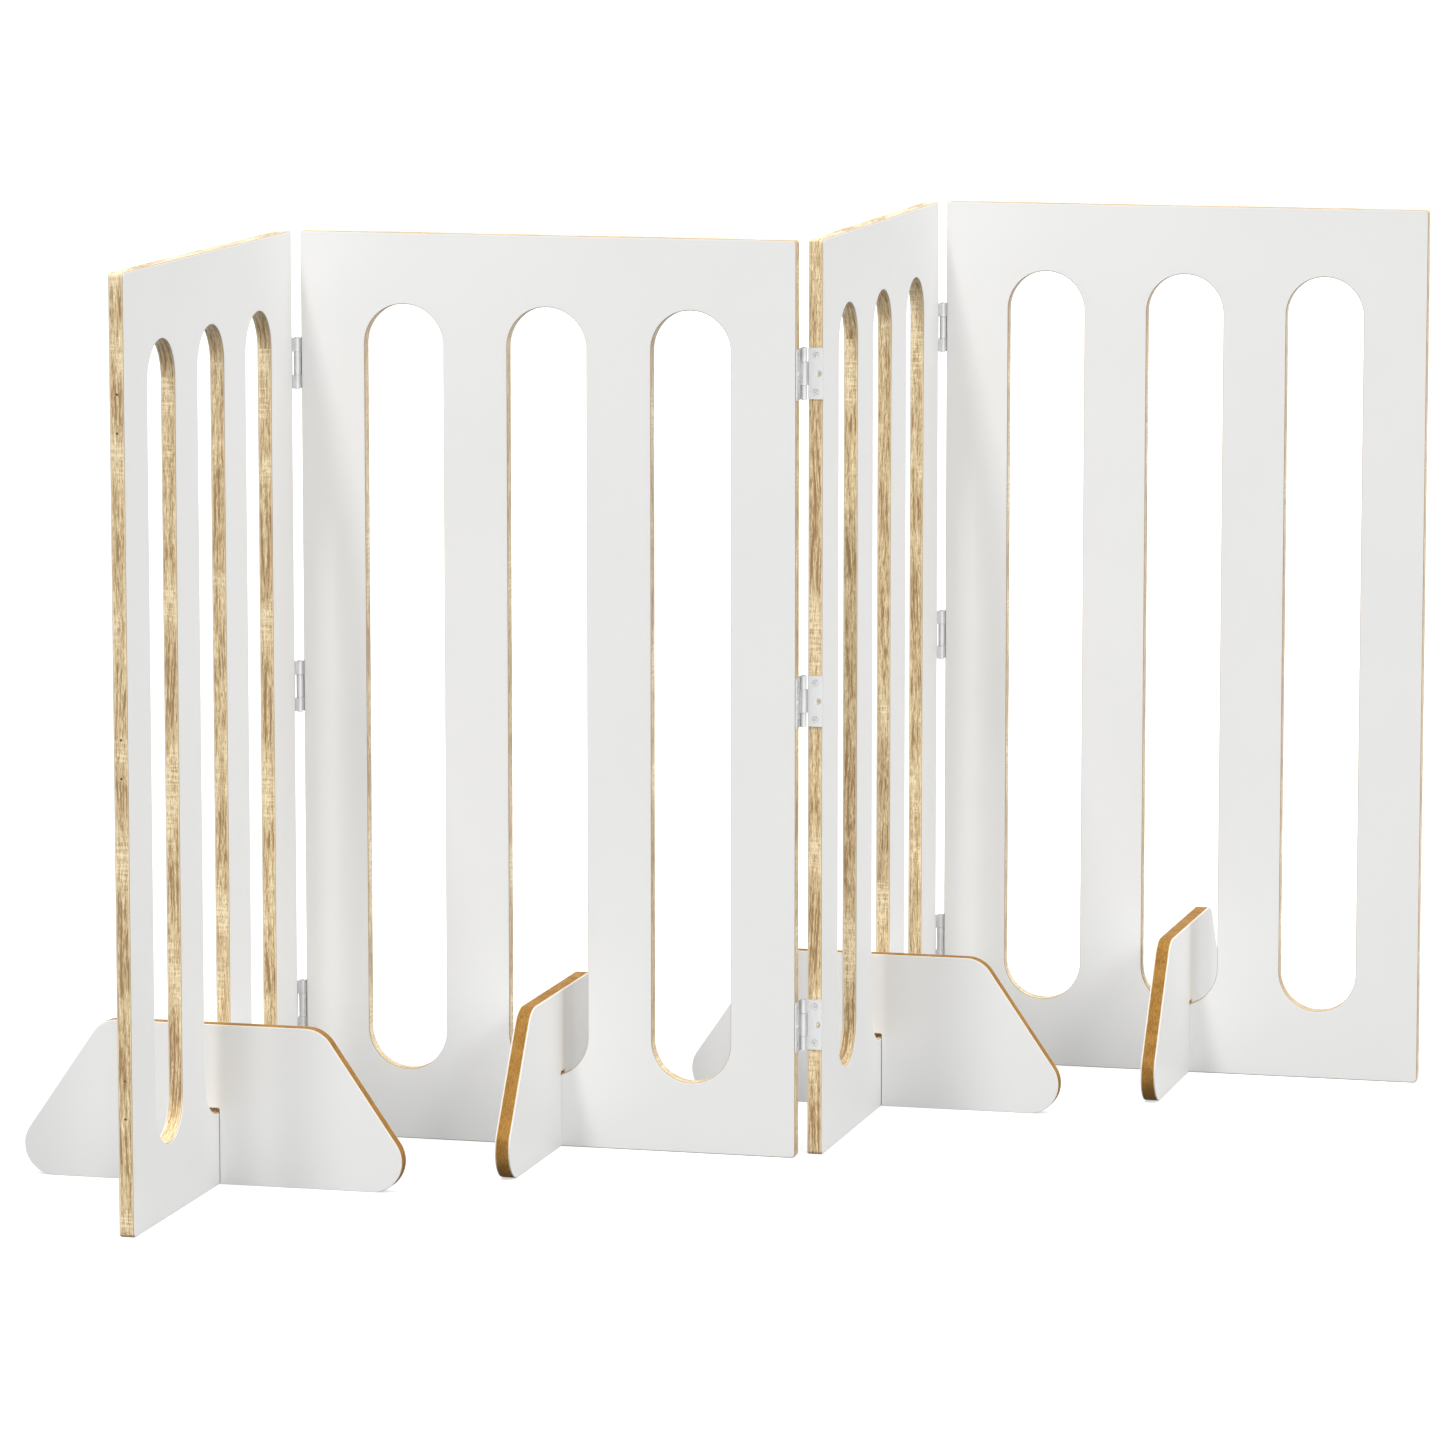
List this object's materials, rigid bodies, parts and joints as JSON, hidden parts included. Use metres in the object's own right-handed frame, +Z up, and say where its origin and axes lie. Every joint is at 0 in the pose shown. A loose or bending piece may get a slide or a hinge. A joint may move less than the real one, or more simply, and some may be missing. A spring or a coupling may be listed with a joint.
{
  "type": "folding pet gate",
  "caption": "Free-standing folding pet gate: white slotted panels with oak-grain edges, butt hinges at each zig-zag fold and loose cross feet that straddle the bottom rails.",
  "frame": {"origin": "on the floor, under the middle of the gate's overall box as it stands in its square zig-zag", "axes": "+Z up; +X along panels 2 and 4, towards the free right edge; +Y along panels 1 and 3, away from the free left edge"},
  "size_m": [1.2345, 1.2345, 0.9],
  "materials": {
    "oak_edge_board": "light oak-grain edges, satin",
    "panel_laminate": "white melamine laminate, satin, finely pored",
    "foot_board": "warm brown fibreboard edge, matt",
    "foot_laminate": "white melamine laminate, satin",
    "hinge_leaf": "bright zinc plate",
    "hinge_pin": "bright drawn steel",
    "screw": "bright zinc plate"
  },
  "bodies": {
    "panel_1": {"panel_1_board": "oak_edge_board", "panel_1_front_laminate": "panel_laminate", "panel_1_back_laminate": "panel_laminate", "hinge_12_bottom_fork_leaf": "hinge_leaf", "hinge_12_middle_fork_leaf": "hinge_leaf", "hinge_12_top_fork_leaf": "hinge_leaf", "hinge_12_bottom_pin": "hinge_pin", "hinge_12_middle_pin": "hinge_pin", "hinge_12_top_pin": "hinge_pin", "hinge_12_screws_panel_1": "screw"},
    "panel_2": {"panel_2_board": "oak_edge_board", "panel_2_front_laminate": "panel_laminate", "panel_2_back_laminate": "panel_laminate", "hinge_12_bottom_tongue_leaf": "hinge_leaf", "hinge_12_middle_tongue_leaf": "hinge_leaf", "hinge_12_top_tongue_leaf": "hinge_leaf", "hinge_12_screws_panel_2": "screw", "hinge_23_bottom_fork_leaf": "hinge_leaf", "hinge_23_middle_fork_leaf": "hinge_leaf", "hinge_23_top_fork_leaf": "hinge_leaf", "hinge_23_bottom_pin": "hinge_pin", "hinge_23_middle_pin": "hinge_pin", "hinge_23_top_pin": "hinge_pin", "hinge_23_screws_panel_2": "screw"},
    "panel_3": {"panel_3_board": "oak_edge_board", "panel_3_front_laminate": "panel_laminate", "panel_3_back_laminate": "panel_laminate", "hinge_23_bottom_tongue_leaf": "hinge_leaf", "hinge_23_middle_tongue_leaf": "hinge_leaf", "hinge_23_top_tongue_leaf": "hinge_leaf", "hinge_23_screws_panel_3": "screw", "hinge_34_bottom_fork_leaf": "hinge_leaf", "hinge_34_middle_fork_leaf": "hinge_leaf", "hinge_34_top_fork_leaf": "hinge_leaf", "hinge_34_bottom_pin": "hinge_pin", "hinge_34_middle_pin": "hinge_pin", "hinge_34_top_pin": "hinge_pin", "hinge_34_screws_panel_3": "screw"},
    "panel_4": {"panel_4_board": "oak_edge_board", "panel_4_front_laminate": "panel_laminate", "panel_4_back_laminate": "panel_laminate", "hinge_34_bottom_tongue_leaf": "hinge_leaf", "hinge_34_middle_tongue_leaf": "hinge_leaf", "hinge_34_top_tongue_leaf": "hinge_leaf", "hinge_34_screws_panel_4": "screw"},
    "foot_1": {"foot_1_board": "foot_board", "foot_1_near_laminate": "foot_laminate", "foot_1_far_laminate": "foot_laminate"},
    "foot_2": {"foot_2_board": "foot_board", "foot_2_near_laminate": "foot_laminate", "foot_2_far_laminate": "foot_laminate"},
    "foot_3": {"foot_3_board": "foot_board", "foot_3_near_laminate": "foot_laminate", "foot_3_far_laminate": "foot_laminate"},
    "foot_4": {"foot_4_board": "foot_board", "foot_4_near_laminate": "foot_laminate", "foot_4_far_laminate": "foot_laminate"}
  },
  "joints": [
    {"name": "fold_12", "type": "hinge", "parent": "panel_2", "child": "panel_1", "pos_m": [-0.41505, -0.11395, 0.45], "axis": [0, 0, -1], "range_deg": [-18, 100]},
    {"name": "fold_23", "type": "hinge", "parent": "panel_2", "child": "panel_3", "pos_m": [0.09155, -0.09155, 0.45], "axis": [0, 0, -1], "range_deg": [-18, 100]},
    {"name": "fold_34", "type": "hinge", "parent": "panel_3", "child": "panel_4", "pos_m": [0.11395, 0.41505, 0.45], "axis": [0, 0, 1], "range_deg": [-18, 100]},
    {"name": "lift_foot_1", "type": "slide", "parent": "panel_1", "child": "foot_1", "axis": [0, 0, 1], "range_m": [0, 0.09]},
    {"name": "lift_foot_2", "type": "slide", "parent": "panel_2", "child": "foot_2", "axis": [0, 0, 1], "range_m": [0, 0.09]},
    {"name": "lift_foot_3", "type": "slide", "parent": "panel_3", "child": "foot_3", "axis": [0, 0, 1], "range_m": [0, 0.09]},
    {"name": "lift_foot_4", "type": "slide", "parent": "panel_4", "child": "foot_4", "axis": [0, 0, 1], "range_m": [0, 0.09]}
  ]
}
